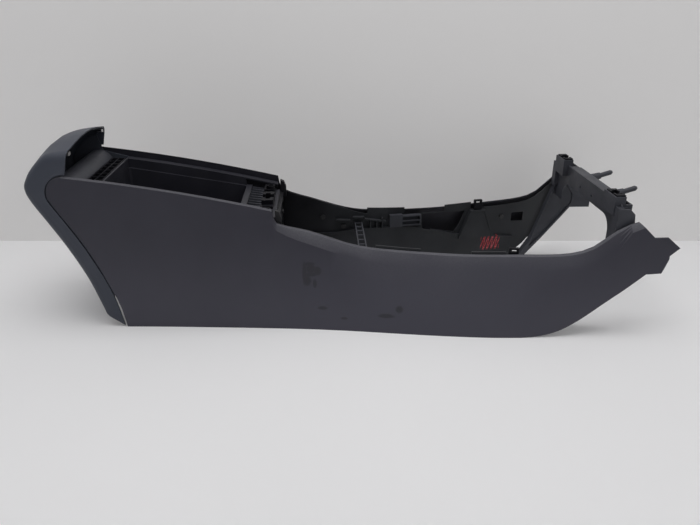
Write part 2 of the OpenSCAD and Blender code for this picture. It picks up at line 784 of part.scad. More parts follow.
// Locating pin: a tapered root with a flat fin and a web, then the plain pin with a cone tip
module pin_direction() { rotate([0, -pin_tilt, 0]) rotate([0, 90, 0]) children(); }
module locating_pin() {
    translate([pin_root, pin_spacing / 2, pin_z]) {
        pin_direction() {
            cylinder(d1 = pin_dia + 8, d2 = pin_dia + 3, h = pin_boss, $fn = 32);
            cylinder(d = pin_dia, h = pin_length, $fn = 32);
            translate([0, 0, pin_length]) cylinder(d1 = pin_dia, d2 = pin_dia - 4, h = 3, $fn = 32);
        }
        rotate([0, -pin_tilt, 0]) translate([0, 0, -1]) linear_extrude(height = 2)
            polygon([[-2, -14], [pin_boss - 2, -6], [pin_boss - 2, 6], [-2, 14]]);
        across(-1.2, 1.2) polygon([[0, -12], [pin_boss - 6, 0], [pin_boss - 6, 6], [0, 6]]);
    }
}

// End box of the bridge: an open-topped pocket that takes a panel clip, with a smaller one beside it
module end_box() {
    w = inner_wall;
    difference() {
        union() {
            translate([box_start, box_inner, bridge_top - 20])
                cube([box_depth, box_outer - box_inner, 31]);
            across(box_outer - 2, leg_outer + 2) polygon([
                [bridge_station - 8, leg_low + 20], [bridge_station + 16, leg_low + 28],
                [bridge_station + 22, bridge_top - 32], [bridge_station + 20, bridge_top - 14],
                [bridge_station + 12, bridge_top - 6], [bridge_station - 8, bridge_top - 4]
            ]);
        }
        translate([box_start + 18, box_inner - 1, bridge_top - 2]) cube([40, 60, 60]);
        translate([bridge_station + w + 1, box_outer + w, leg_low + 34])
            cube([11, leg_outer - box_outer - 2 * w, 80]);
    }
}
module end_box_pocket() {
    w = inner_wall;
    translate([box_start + w, box_inner + w, bridge_top - 17])
        cube([box_depth - 2 * w, box_outer - box_inner - 2 * w, 60]);
}

// Wing plate in front of the leg, along the inside of the side panel
module leg_wing() {
    across(wing_y, wing_y + inner_wall) polygon([
        [960, 119], [1024, 118.5], [1024, 140], [992, 172], [966, 190], [950, 190], [950, 160]
    ]);
}

// Post at the end of the rail, on top of the hoop
module rail_post() {
    across(80, 90.5) polygon([
        [hoop_start + 0.6, shoulder_z - 12], [hoop_start + 11, shoulder_z - 12],
        [hoop_start + 11, shoulder_z + 7], [hoop_start + 7, shoulder_z + 17],
        [hoop_start + 0.6, shoulder_z + 20]
    ]);
}

panel_screw_spots = [[470, 128], [510, 107], [838, 104]];

module half_frame() {
    difference() {
        union() {
            frame_wall();
            clip_tower();
        }
        clip_tower_inside();
        across(0, 300) polygon([[669, 92], [737, 78], [748, 96], [758, 122], [669, 122]]);
        across(0, 300) polygon([[860, 92], [885, 92], [885, 111], [860, 111]]);
        for (spot = panel_screw_spots) on_wall(spot[0])
            translate([0, -inner_wall, spot[1]]) rotate([0, 0, 90]) screw_hole(inner_wall, shank_play);
    }
    cable_fittings();
    strut();
    end_box();
    leg_wing();
    rail_post();
    locating_pin();
}

module inner_frame() {
    w = inner_wall;
    hoop_half = inner_y(frame_start) - inner_wall / 2;
    lip_half = inner_y(hoop_start + 6) - inner_wall / 2;
    color(frame_grey) placed() difference() {
        union() {
            both_sides() half_frame();
            bridge();
            difference() {
                translate([hoop_start, -hoop_half, 60])
                    cube([hoop_thick, 2 * hoop_half, shoulder_z - 2 - 60]);
                translate([hoop_start - 1, -hoop_half + 12, 72])
                    cube([hoop_thick + 2, 2 * hoop_half - 24, shelf_z - shelf_skirt - 76]);
            }
            translate([hoop_start, -lip_half, shoulder_z - 5]) cube([6, 2 * lip_half, 2]);
        }
        both_sides() end_box_pocket();
        for (y = [-1, 1]) translate([bridge_station - 1, y * bridge_hole_spacing / 2, bridge_hole_z])
            rotate([0, 90, 0]) cylinder(d = bridge_hole_dia, h = w + 2, $fn = 32);
        both_sides() for (drop = frame_screw_drops)
            translate([hoop_start, frame_screw_y, shelf_z - drop]) screw_hole(hoop_thick, shank_play);
    }
}

module frame_screws() {
    color(steel) placed() both_sides() for (drop = frame_screw_drops)
        translate([hoop_start + hoop_thick, frame_screw_y, shelf_z - drop]) rotate([0, 0, 180]) screw(10);
}

module panel_screws() {
    color(steel) placed() both_sides() for (spot = panel_screw_spots) on_wall(spot[0])
        translate([0, -inner_wall, spot[1]]) rotate([0, 0, 90]) screw(3 * screw_dia);
}

// Cross brace: a ladder between the two walls
brace_station = 539.5;
brace_width = 15;
brace_z = 115;
module cross_brace() {
    reach = inner_y(brace_station - brace_width / 2) - inner_wall - seat_gap;
    color(frame_grey) placed() {
        for (s = [brace_station - brace_width / 2, brace_station + brace_width / 2 - 2])
            translate([s, -reach, brace_z - 4]) cube([2, 2 * reach, 4]);
        for (k = [0:8]) translate([brace_station - brace_width / 2, -reach + k * (2 * reach - 3) / 8, brace_z - 3.5])
            cube([brace_width, 3, 3]);
    }
}

// Slot guide on the wall: three rails between a block and an end plate
module slot_guide() {
    guide_mid = (guide_start + guide_end) / 2;
    half = (guide_end - guide_start) / 2;
    placed() on_wall(guide_mid) translate([0, -inner_wall - seat_gap, 0]) {
        translate([-half, -9, guide_low]) cube([26, 9, 25]);
        for (k = [0:2]) translate([-half + 20, -9, guide_low + 1 + 9.5 * k]) cube([2 * half - 20, 9, 2.5]);
        translate([half - 2.5, -9, guide_low + 1]) cube([2.5, 9, 21.5]);
        translate([-half + 20, -2, guide_low + 1]) cube([2 * half - 20, 2, 21.5]);
    }
}
module left_slot_guide() { color(frame_grey) slot_guide(); }
module right_slot_guide() { color(frame_grey) mirror([0, 1, 0]) slot_guide(); }

// Rail clip on the clip tower
module rail_clip() {
    placed() on_wall(tower_station) translate([0, -inner_wall - 6, tower_top + 1]) difference() {
        translate([-8, 0, 0]) cube([16, 6, 20]);
        translate([-5, -1, 13]) cube([10, 10, 4]);
        translate([-9, 2, 4]) cube([18, 2, 6]);
    }
}
module left_rail_clip() { color(black) rail_clip(); }
module right_rail_clip() { color(black) mirror([0, 1, 0]) rail_clip(); }

// Bridge clip: the block that sits in the end box and grips the dashboard trim
module bridge_clip() {
    w = inner_wall;
    placed() translate([box_start + w + seat_gap, box_inner + w + seat_gap, bridge_top - 17 + 0.1]) difference() {
        cube([15, box_outer - box_inner - 2 * w - 2 * seat_gap, 30]);
        translate([3, 8, 12]) cube([9, 21, 30]);
        translate([-1, 14, 20]) cube([30, 9, 30]);
    }
}
module left_bridge_clip() { color(black) bridge_clip(); }
module right_bridge_clip() { color(black) mirror([0, 1, 0]) bridge_clip(); }

right_side_panel();
left_side_panel();
rear_cap();
rear_carrier();
hinge_cover();
hinge_mount();
storage_bin();
rib_plate();
latch_block();
right_stop_bracket();
left_stop_bracket();
inner_frame();
cross_brace();
right_slot_guide();
left_slot_guide();
right_rail_clip();
left_rail_clip();
right_bridge_clip();
left_bridge_clip();
cap_clips();
hinge_screws();
bin_screws();
frame_screws();
panel_screws();
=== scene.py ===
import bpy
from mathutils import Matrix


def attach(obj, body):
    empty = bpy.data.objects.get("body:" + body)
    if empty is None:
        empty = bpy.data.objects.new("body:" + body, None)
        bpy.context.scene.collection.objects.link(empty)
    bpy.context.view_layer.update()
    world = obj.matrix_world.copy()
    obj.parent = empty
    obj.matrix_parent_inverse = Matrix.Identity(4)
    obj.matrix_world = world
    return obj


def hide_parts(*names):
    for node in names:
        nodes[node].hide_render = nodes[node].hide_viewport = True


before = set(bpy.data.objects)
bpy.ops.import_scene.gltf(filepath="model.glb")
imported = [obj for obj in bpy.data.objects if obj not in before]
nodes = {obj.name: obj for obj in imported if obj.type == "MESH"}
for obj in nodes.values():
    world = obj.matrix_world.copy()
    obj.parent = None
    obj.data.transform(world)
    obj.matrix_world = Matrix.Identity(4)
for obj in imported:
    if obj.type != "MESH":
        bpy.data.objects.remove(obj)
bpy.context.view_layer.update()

import math
import bmesh
import bpy
from mathutils import Euler, Matrix, Vector

# Floor console of a small car, seen from its right side on a pale table.
# Metres, X forward, Y to the left side, Z up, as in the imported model.


# Stage: camera, table, wall and lamps

view = {
    "place": (-0.0518, -1.054, 0.5467),
    "pitch": 65.6,
    "yaw": -2.9,
    "lens": 31.89,
    "sensor": 36.0,
}


def makeCamera():
    lens = bpy.data.cameras.new("camera")
    lens.lens = view["lens"]
    lens.sensor_width = view["sensor"]
    lens.clip_start = 0.02
    camera = bpy.data.objects.new("camera", lens)
    camera.location = view["place"]
    camera.rotation_euler = Euler((math.radians(view["pitch"]), 0, math.radians(view["yaw"])))
    bpy.context.scene.collection.objects.link(camera)
    bpy.context.scene.camera = camera
    print("camera set")


def newMaterial(name):
    material = bpy.data.materials.new(name)
    material.use_nodes = True
    tree = material.node_tree
    return material, tree, tree.nodes["Principled BSDF"]


def addNode(tree, kind, **values):
    node = tree.nodes.new(kind)
    for key, value in values.items():
        setattr(node, key, value)
    return node


def mathNode(tree, operation, a, b=None):
    node = addNode(tree, "ShaderNodeMath", operation=operation)
    for index, value in enumerate((a, b)):
        if value is None:
            continue
        if isinstance(value, (int, float)):
            node.inputs[index].default_value = value
        else:
            tree.links.new(value, node.inputs[index])
    return node.outputs[0]


def objectFrom(bm, name, material=None):
    mesh = bpy.data.meshes.new(name)
    bm.to_mesh(mesh)
    bm.free()
    piece = bpy.data.objects.new(name, mesh)
    bpy.context.scene.collection.objects.link(piece)
    if material:
        mesh.materials.append(material)
    return piece


stage = {
    "tableColour": (0.80, 0.795, 0.80),
    "wallColour": (0.69, 0.68, 0.675),
    "tableGlow": 0.15,  # seen by the camera and in reflections only
    "wallGlow": 0.27,
    "wallDistance": 1.326,  # from the camera, along the table
    "reach": 3.2,
    "tablePatch": 2.2,
    "wallPatch": 1.1,
    "patchShade": 0.975,
}


def paleSurface(name, colour, patch, glow):
    material, tree, skin = newMaterial(name)
    ray = addNode(tree, "ShaderNodeLightPath")
    seen = mathNode(tree, "MAXIMUM", ray.outputs["Is Camera Ray"], ray.outputs["Is Glossy Ray"])
    seen = mathNode(tree, "MAXIMUM", seen, ray.outputs["Is Transmission Ray"])
    tree.links.new(mathNode(tree, "MULTIPLY", seen, glow), skin.inputs["Emission Strength"])
    skin.inputs["Emission Color"].default_value = (*colour, 1)
    skin.inputs["Roughness"].default_value = 0.85
    skin.inputs["Specular IOR Level"].default_value = 0.2
    coords = addNode(tree, "ShaderNodeTexCoord")
    noise = addNode(tree, "ShaderNodeTexNoise")
    noise.inputs["Scale"].default_value = patch
    noise.inputs["Detail"].default_value = 2
    ramp = addNode(tree, "ShaderNodeValToRGB")
    ramp.color_ramp.elements[0].position = 0.3
    ramp.color_ramp.elements[1].position = 0.75
    ramp.color_ramp.elements[0].color = (*[c * stage["patchShade"] for c in colour], 1)
    ramp.color_ramp.elements[1].color = (*colour, 1)
    tree.links.new(coords.outputs["Object"], noise.inputs["Vector"])
    tree.links.new(noise.outputs["Fac"], ramp.inputs["Fac"])
    tree.links.new(ramp.outputs["Color"], skin.inputs["Base Color"])
    return material


# The wall shows its front only, so that views from behind it stay open
def openFromBehind(material):
    tree = material.node_tree
    facing = addNode(tree, "ShaderNodeNewGeometry")
    clear = addNode(tree, "ShaderNodeBsdfTransparent")
    mix = addNode(tree, "ShaderNodeMixShader")
    tree.links.new(facing.outputs["Backfacing"], mix.inputs[0])
    tree.links.new(tree.nodes["Principled BSDF"].outputs["BSDF"], mix.inputs[1])
    tree.links.new(clear.outputs["BSDF"], mix.inputs[2])
    tree.links.new(mix.outputs["Shader"], tree.nodes["Material Output"].inputs["Surface"])


def makeStage():
    yaw = math.radians(view["yaw"])
    forward = Vector((-math.sin(yaw), math.cos(yaw), 0))
    foot = Vector(view["place"]) + forward * stage["wallDistance"]
    foot.z = 0
    turn = Matrix.Translation(foot) @ Matrix.Rotation(yaw, 4, "Z")
    r = stage["reach"]
    table = bmesh.new()
    corners = ((-r, -r, 0), (r, -r, 0), (r, 0, 0), (-r, 0, 0))
    table.faces.new([table.verts.new(turn @ Vector(c)) for c in corners])
    tablePaint = paleSurface("tablePaint", stage["tableColour"], stage["tablePatch"], stage["tableGlow"])
    tablePiece = objectFrom(table, "table", tablePaint)
    wall = bmesh.new()
    corners = ((-r, 0, 0), (r, 0, 0), (r, 0, r), (-r, 0, r))
    wall.faces.new([wall.verts.new(turn @ Vector(c)) for c in corners])
    wallPaint = paleSurface("wallPaint", stage["wallColour"], stage["wallPatch"], stage["wallGlow"])
    openFromBehind(wallPaint)
    wallPiece = objectFrom(wall, "wall", wallPaint)
    print("table and wall set")


lamps = {
    "ceiling": {"place": (-0.1, 0.05, 2.1), "aim": (-0.05, 0.05, 0), "size": 2.0, "power": 36},
    "window": {"place": (1.3, -1.7, 1.2), "aim": (0.1, 0, 0.1), "size": 1.2, "power": 3.2},
    "skyColour": (0.96, 0.97, 1.0),
    "skyStrength": 0.25,
}


def makeLamps():
    for name in ("ceiling", "window"):
        values = lamps[name]
        light = bpy.data.lights.new(name, "AREA")
        light.shape = "SQUARE"
        light.size = values["size"]
        light.energy = values["power"]
        lamp = bpy.data.objects.new(name, light)
        lamp.location = values["place"]
        aim = Vector(values["aim"]) - Vector(values["place"])
        lamp.rotation_euler = aim.to_track_quat("-Z", "Y").to_euler()
        bpy.context.scene.collection.objects.link(lamp)
    world = bpy.data.worlds.new("room")
    world.use_nodes = True
    air = world.node_tree.nodes["Background"]
    air.inputs["Color"].default_value = (*lamps["skyColour"], 1)
    air.inputs["Strength"].default_value = lamps["skyStrength"]
    bpy.context.scene.world = world
    bpy.context.scene.view_settings.view_transform = "Standard"
    print("lamps set")


# Effects that several plastics share

def newGroup(name, inputs, outputs):
    group = bpy.data.node_groups.new(name, "ShaderNodeTree")
    for label, kind, value in inputs:
        socket = group.interface.new_socket(name=label, in_out="INPUT", socket_type=kind)
        socket.default_value = value
    for label, kind in outputs:
        group.interface.new_socket(name=label, in_out="OUTPUT", socket_type=kind)
    entry = group.nodes.new("NodeGroupInput")
    exit_ = group.nodes.new("NodeGroupOutput")
    return group, entry, exit_


effects = {
    "grainFine": 0.55,  # scale of the fine grain against the pits
    "grainHeight": 0.0002,
    "speckScale": 420,
    "speckFloor": 0.45,
    "dustAndTopLightSlope": (0.2, 0.6),  # upward part of the normal where dust and the painted top highlight begin and are full
    "dustAndTopLightColour": (0.41, 0.41, 0.43),
}


def mouldedGrain():
    group, entry, exit_ = newGroup(
        "mouldedGrain",
        [("Scale", "NodeSocketFloat", 900.0), ("Depth", "NodeSocketFloat", 0.2)],
        [("Normal", "NodeSocketVector")],
    )
    coords = addNode(group, "ShaderNodeTexCoord")
    cells = addNode(group, "ShaderNodeTexVoronoi", feature="F1")
    fine = addNode(group, "ShaderNodeTexNoise")
    fine.inputs["Detail"].default_value = 3
    group.links.new(coords.outputs["Object"], cells.inputs["Vector"])
    group.links.new(coords.outputs["Object"], fine.inputs["Vector"])
    group.links.new(entry.outputs["Scale"], cells.inputs["Scale"])
    fineScale = mathNode(group, "MULTIPLY", entry.outputs["Scale"], effects["grainFine"])
    group.links.new(fineScale, fine.inputs["Scale"])
    height = mathNode(group, "ADD", cells.outputs["Distance"], fine.outputs["Fac"])
    bump = addNode(group, "ShaderNodeBump")
    bump.inputs["Distance"].default_value = effects["grainHeight"]
    group.links.new(entry.outputs["Depth"], bump.inputs["Strength"])
    group.links.new(height, bump.inputs["Height"])
    group.links.new(bump.outputs["Normal"], exit_.inputs["Normal"])
    return group


# Pale speckled dust laid on faces turned upward, which is also a painted highlight: tops are lightened as
# if lit from above
def makeDustAndTopLight():
    group, entry, exit_ = newGroup(
        "makeDustAndTopLight",
        [
            ("Colour", "NodeSocketColor", (0.05, 0.05, 0.05, 1)),
            ("DustAndTopLight", "NodeSocketFloat", 0.3),
            ("Patch", "NodeSocketFloat", 14.0),
        ],
        [("Colour", "NodeSocketColor"), ("Gloss", "NodeSocketFloat")],
    )
    coords = addNode(group, "ShaderNodeTexCoord")
    facing = addNode(group, "ShaderNodeNewGeometry")
    split = addNode(group, "ShaderNodeSeparateXYZ")
    cloud = addNode(group, "ShaderNodeTexNoise")
    cloud.inputs["Detail"].default_value = 5
    cloud.inputs["Roughness"].default_value = 0.62
    speck = addNode(group, "ShaderNodeTexNoise")
    speck.inputs["Scale"].default_value = effects["speckScale"]
    speck.inputs["Detail"].default_value = 2
    group.links.new(coords.outputs["Object"], cloud.inputs["Vector"])
    group.links.new(coords.outputs["Object"], speck.inputs["Vector"])
    group.links.new(entry.outputs["Patch"], cloud.inputs["Scale"])
    group.links.new(facing.outputs["Normal"], split.inputs["Vector"])
    slope = addNode(group, "ShaderNodeMapRange")
    slope.inputs["From Min"].default_value = effects["dustAndTopLightSlope"][0]
    slope.inputs["From Max"].default_value = effects["dustAndTopLightSlope"][1]
    group.links.new(split.outputs["Z"], slope.inputs["Value"])
    patchy = mathNode(group, "MULTIPLY", cloud.outputs["Fac"], slope.outputs["Result"])
    specks = mathNode(group, "ADD", speck.outputs["Fac"], effects["speckFloor"])
    spotty = mathNode(group, "MULTIPLY", patchy, specks)
    amount = mathNode(group, "MULTIPLY", spotty, entry.outputs["DustAndTopLight"])
    mix = addNode(group, "ShaderNodeMix", data_type="RGBA")
    mix.inputs["B"].default_value = (*effects["dustAndTopLightColour"], 1)
    group.links.new(amount, mix.inputs["Factor"])
    group.links.new(entry.outputs["Colour"], mix.inputs["A"])
    group.links.new(mix.outputs["Result"], exit_.inputs["Colour"])
    group.links.new(cloud.outputs["Fac"], exit_.inputs["Gloss"])
    return group


# The dust values set how much pale dust and painted top highlight each plastic takes on its upward faces
plastics = {
    "panel_plastic": {
        "colour": (0.0310, 0.0300, 0.0429), "tint": (0.0410, 0.0400, 0.0557), "rough": (0.46, 0.60),
        "grain": 950, "depth": 0.30, "dustAndTopLight": 0.30, "patch": 9, "shine": 0.42,
    },
    "cap_plastic": {
        "colour": (0.0490, 0.0550, 0.0731), "tint": (0.0630, 0.0700, 0.0916), "rough": (0.42, 0.56),
        "grain": 950, "depth": 0.26, "dustAndTopLight": 0.01, "patch": 11, "shine": 0.34,
    },
    "cap_inner": {
        "colour": (0.0420, 0.0470, 0.0603), "tint": (0.0580, 0.0640, 0.0812), "rough": (0.50, 0.66),
        "grain": 700, "depth": 0.15, "dustAndTopLight": 0.02, "patch": 18, "shine": 0.35,
    },
    "frame_plastic": {
        "colour": (0.0160, 0.0175, 0.0209), "tint": (0.0270, 0.0290, 0.0336), "rough": (0.40, 0.62),
        "grain": 620, "depth": 0.22, "dustAndTopLight": 0.04, "patch": 22, "shine": 0.36,
    },
    "bridge_plastic": {
        "colour": (0.0400, 0.0420, 0.0510), "tint": (0.0620, 0.0640, 0.0777), "rough": (0.42, 0.60),
        "grain": 620, "depth": 0.20, "dustAndTopLight": 0.03, "patch": 30, "shine": 0.36,
    },
    "black_plastic": {
        "colour": (0.0052, 0.0052, 0.0077), "tint": (0.0085, 0.0085, 0.0118), "rough": (0.44, 0.64),
        "grain": 700, "depth": 0.18, "dustAndTopLight": 0.01, "patch": 26, "shine": 0.16,
    },
    "bin_plastic": {
        "colour": (0.0160, 0.0160, 0.0226), "tint": (0.0240, 0.0240, 0.0325), "rough": (0.40, 0.60),
        "grain": 700, "depth": 0.18, "dustAndTopLight": 0.03, "patch": 26, "shine": 0.42,
    },
    # Painted shade: the side panels' inward faces are darkened for the shade inside the console
    "panel_inner_painted_shade": {
        "colour": (0.0130, 0.0125, 0.0191), "tint": (0.0195, 0.0190, 0.0278), "rough": (0.50, 0.68),
        "grain": 700, "depth": 0.15, "dustAndTopLight": 0.04, "patch": 20, "shine": 0.40,
    },
}


def makePlastic(name, grainGroup, dustAndTopLightGroup):
    values = plastics[name]
    material, tree, skin = newMaterial(name)
    coords = addNode(tree, "ShaderNodeTexCoord")
    blotch = addNode(tree, "ShaderNodeTexNoise")
    blotch.inputs["Scale"].default_value = values["patch"] * 0.6
    blotch.inputs["Detail"].default_value = 4
    shade = addNode(tree, "ShaderNodeValToRGB")
    shade.color_ramp.elements[0].position = 0.32
    shade.color_ramp.elements[1].position = 0.72
    shade.color_ramp.elements[0].color = (*values["colour"], 1)
    shade.color_ramp.elements[1].color = (*values["tint"], 1)
    tree.links.new(coords.outputs["Object"], blotch.inputs["Vector"])
    tree.links.new(blotch.outputs["Fac"], shade.inputs["Fac"])
    dustAndTopLight = addNode(tree, "ShaderNodeGroup", node_tree=dustAndTopLightGroup)
    dustAndTopLight.inputs["DustAndTopLight"].default_value = values["dustAndTopLight"]
    dustAndTopLight.inputs["Patch"].default_value = values["patch"]
    tree.links.new(shade.outputs["Color"], dustAndTopLight.inputs["Colour"])
    grain = addNode(tree, "ShaderNodeGroup", node_tree=grainGroup)
    grain.inputs["Scale"].default_value = values["grain"]
    grain.inputs["Depth"].default_value = values["depth"]
    gloss = addNode(tree, "ShaderNodeMapRange")
    gloss.inputs["From Min"].default_value = 0.3
    gloss.inputs["From Max"].default_value = 0.7
    gloss.inputs["To Min"].default_value = values["rough"][0]
    gloss.inputs["To Max"].default_value = values["rough"][1]
    tree.links.new(dustAndTopLight.outputs["Gloss"], gloss.inputs["Value"])
    tree.links.new(dustAndTopLight.outputs["Colour"], skin.inputs["Base Color"])
    tree.links.new(gloss.outputs["Result"], skin.inputs["Roughness"])
    tree.links.new(grain.outputs["Normal"], skin.inputs["Normal"])
    skin.inputs["Specular IOR Level"].default_value = values["shine"]
    return material


steels = {
    "bright_steel": {"colour": (0.60, 0.60, 0.61), "worn": (0.40, 0.39, 0.38), "rough": (0.25, 0.45)},
    "dull_steel": {"colour": (0.085, 0.085, 0.09), "worn": (0.05, 0.05, 0.05), "rough": (0.45, 0.65)},
}


streakStretch = (300, 300, 2200)


def makeSteel(name):
    values = steels[name]
    material, tree, skin = newMaterial(name)
    coords = addNode(tree, "ShaderNodeTexCoord")
    stretch = addNode(tree, "ShaderNodeMapping")
    stretch.inputs["Scale"].default_value = streakStretch
    streak = addNode(tree, "ShaderNodeTexNoise")
    streak.inputs["Scale"].default_value = 1
    shade = addNode(tree, "ShaderNodeValToRGB")
    shade.color_ramp.elements[0].color = (*values["worn"], 1)
    shade.color_ramp.elements[1].color = (*values["colour"], 1)
    gloss = addNode(tree, "ShaderNodeMapRange")
    gloss.inputs["To Min"].default_value = values["rough"][1]
    gloss.inputs["To Max"].default_value = values["rough"][0]
    tree.links.new(coords.outputs["Object"], stretch.inputs["Vector"])
    tree.links.new(stretch.outputs["Vector"], streak.inputs["Vector"])
    tree.links.new(streak.outputs["Fac"], shade.inputs["Fac"])
    tree.links.new(streak.outputs["Fac"], gloss.inputs["Value"])
    tree.links.new(shade.outputs["Color"], skin.inputs["Base Color"])
    tree.links.new(gloss.outputs["Result"], skin.inputs["Roughness"])
    skin.inputs["Metallic"].default_value = 1.0
    return material


# Slow changes of tone: paler toward the panels' feet, which is painted light bounced off the table; along
# the frame from black to grey, where the black rear is painted shade in the deep pocket

def objectXYZ(tree):
    coords = addNode(tree, "ShaderNodeTexCoord")
    split = addNode(tree, "ShaderNodeSeparateXYZ")
    tree.links.new(coords.outputs["Object"], split.inputs["Vector"])
    return coords.outputs["Object"], split.outputs


def softStep(tree, value, low, high):
    step = addNode(tree, "ShaderNodeMapRange", interpolation_type="SMOOTHSTEP")
    step.inputs["From Min"].default_value = low
    step.inputs["From Max"].default_value = high
    tree.links.new(value, step.inputs["Value"])
    return step.outputs["Result"]


def paintOver(material, amount, colour):
    tree = material.node_tree
    skin = tree.nodes["Principled BSDF"]
    mix = addNode(tree, "ShaderNodeMix", data_type="RGBA")
    if isinstance(colour, tuple):
        mix.inputs["B"].default_value = (*colour, 1)
    else:
        tree.links.new(colour, mix.inputs["B"])
    tree.links.new(amount, mix.inputs["Factor"])
    tree.links.new(skin.inputs["Base Color"].links[0].from_socket, mix.inputs["A"])
    tree.links.new(mix.outputs["Result"], skin.inputs["Base Color"])


middle = 0.5168  # from the rear end of the stations to the origin
shifts = {
    # Painted light: the panels grow paler toward the foot, standing in for light bounced off the table
    "foot": {"from": 0.01, "to": 0.20, "most": 0.6, "colour": (0.076, 0.074, 0.098)},
    # Painted shade: the frame's walls go near black toward the rear, where the deep pocket between the
    # panels lies in shade
    "rear": {"from": 0.44 - middle, "to": 0.53 - middle, "most": 0.9, "colour": (0.0035, 0.0033, 0.0055)},
    "nose": {"from": 0.86 - middle, "to": 0.936 - middle, "most": 0.9, "colour": (0.050, 0.052, 0.055)},
}


def shiftTone(material, axis, name, falling):
    tree = material.node_tree
    values = shifts[name]
    amount = softStep(tree, objectXYZ(tree)[1][axis], values["from"], values["to"])
    if falling:
        amount = mathNode(tree, "SUBTRACT", 1.0, amount)
    paintOver(material, mathNode(tree, "MULTIPLY", amount, values["most"]), values["colour"])


# Marks left by handling: dull smudges on the near panel, a crayon squiggle on the far inner wall

smudges = {
    "spots": [  # each: place along and up, half length and half height
        (-0.0805, 0.1000, 0.0046, 0.0260), (-0.0720, 0.1165, 0.0110, 0.0042),
        (-0.0585, 0.1045, 0.0080, 0.0095), (-0.0700, 0.0985, 0.0140, 0.0046),
        (-0.0635, 0.0830, 0.0040, 0.0095), (-0.0150, 0.0225, 0.0075, 0.0030),
        (0.0780, 0.0420, 0.0080, 0.0075), (0.0560, 0.0300, 0.0170, 0.0045),
        (-0.0510, 0.0400, 0.0100, 0.0040), (-0.0700, 0.1080, 0.0105, 0.0100),
        (-0.0760, 0.0880, 0.0080, 0.0110),
    ],
    "colour": (0.021, 0.021, 0.025),
    "strength": 0.65,
    "tearScale": 130,
    "tear": 0.5,
}
crayon = {
    "middle": (0.3005, 0.0495), "half": (0.0205, 0.0165), "wave": 0.0088, "rise": 0.0105, "line": 0.0013,
    "colour": (0.48, 0.022, 0.032), "pale": (0.64, 0.22, 0.24), "lean": 0.22, "waxScale": 620,
}


def squared(tree, value):
    return mathNode(tree, "MULTIPLY", value, value)


def addSmudges(material):
    tree = material.node_tree
    place, axes = objectXYZ(tree)
    rough = addNode(tree, "ShaderNodeTexNoise")
    rough.inputs["Scale"].default_value = smudges["tearScale"]
    rough.inputs["Detail"].default_value = 3
    tree.links.new(place, rough.inputs["Vector"])
    total = None
    for x, z, halfX, halfZ in smudges["spots"]:
        alongX = mathNode(tree, "DIVIDE", mathNode(tree, "SUBTRACT", axes["X"], x), halfX)
        alongZ = mathNode(tree, "DIVIDE", mathNode(tree, "SUBTRACT", axes["Z"], z), halfZ)
        far = mathNode(tree, "ADD", squared(tree, alongX), squared(tree, alongZ))
        near = mathNode(tree, "MAXIMUM", mathNode(tree, "SUBTRACT", 1.0, far), 0.0)
        total = near if total is None else mathNode(tree, "MAXIMUM", total, near)
    torn = mathNode(tree, "ADD", total, mathNode(tree, "MULTIPLY", rough.outputs["Fac"], smudges["tear"]))
    edged = softStep(tree, torn, 0.25, 1.05)
    inSpot = softStep(tree, total, 0.0, 0.25)
    side = mathNode(tree, "LESS_THAN", axes["Y"], 0.0)
    amount = mathNode(tree, "MULTIPLY", mathNode(tree, "MULTIPLY", edged, inSpot), side)
    paintOver(material, mathNode(tree, "MULTIPLY", amount, smudges["strength"]), smudges["colour"])


def addCrayon(material):
    tree = material.node_tree
    place, axes = objectXYZ(tree)
    pace = 2 * math.pi / crayon["wave"]
    along = mathNode(tree, "SUBTRACT", axes["X"], crayon["middle"][0])
    up = mathNode(tree, "SUBTRACT", axes["Z"], crayon["middle"][1])
    lean = mathNode(tree, "SUBTRACT", along, mathNode(tree, "MULTIPLY", up, crayon["lean"]))
    turn = mathNode(tree, "MULTIPLY", lean, pace)
    wave = mathNode(tree, "MULTIPLY", mathNode(tree, "SINE", turn), crayon["rise"])
    steep = mathNode(tree, "MULTIPLY", mathNode(tree, "COSINE", turn), crayon["rise"] * pace)
    length = mathNode(tree, "SQRT", mathNode(tree, "ADD", squared(tree, steep), 1.0))
    off = mathNode(tree, "DIVIDE", mathNode(tree, "ABSOLUTE", mathNode(tree, "SUBTRACT", up, wave)), length)
    line = mathNode(tree, "SUBTRACT", 1.0, softStep(tree, off, crayon["line"] * 0.7, crayon["line"] * 1.5))
    inX = mathNode(tree, "LESS_THAN", mathNode(tree, "ABSOLUTE", along), crayon["half"][0])
    inZ = mathNode(tree, "LESS_THAN", mathNode(tree, "ABSOLUTE", up), crayon["half"][1])
    side = mathNode(tree, "GREATER_THAN", axes["Y"], 0.0)
    waxy = addNode(tree, "ShaderNodeTexNoise")
    waxy.inputs["Scale"].default_value = crayon["waxScale"]
    tree.links.new(place, waxy.inputs["Vector"])
    broken = softStep(tree, waxy.outputs["Fac"], 0.30, 0.48)
    tone = addNode(tree, "ShaderNodeMix", data_type="RGBA")
    tone.inputs["A"].default_value = (*crayon["colour"], 1)
    tone.inputs["B"].default_value = (*crayon["pale"], 1)
    tree.links.new(softStep(tree, waxy.outputs["Fac"], 0.52, 0.68), tone.inputs["Factor"])
    drawn = mathNode(tree, "MULTIPLY", line, broken)
    framed = mathNode(tree, "MULTIPLY", mathNode(tree, "MULTIPLY", inX, inZ), side)
    paintOver(material, mathNode(tree, "MULTIPLY", drawn, framed), tone.outputs["Result"])


# Mouldings whose lofted faces need smooth shading, softened edges and a second finish inside; on the side
# panels that inside finish is painted shade. others holds the finishes that zoneOf picks by number

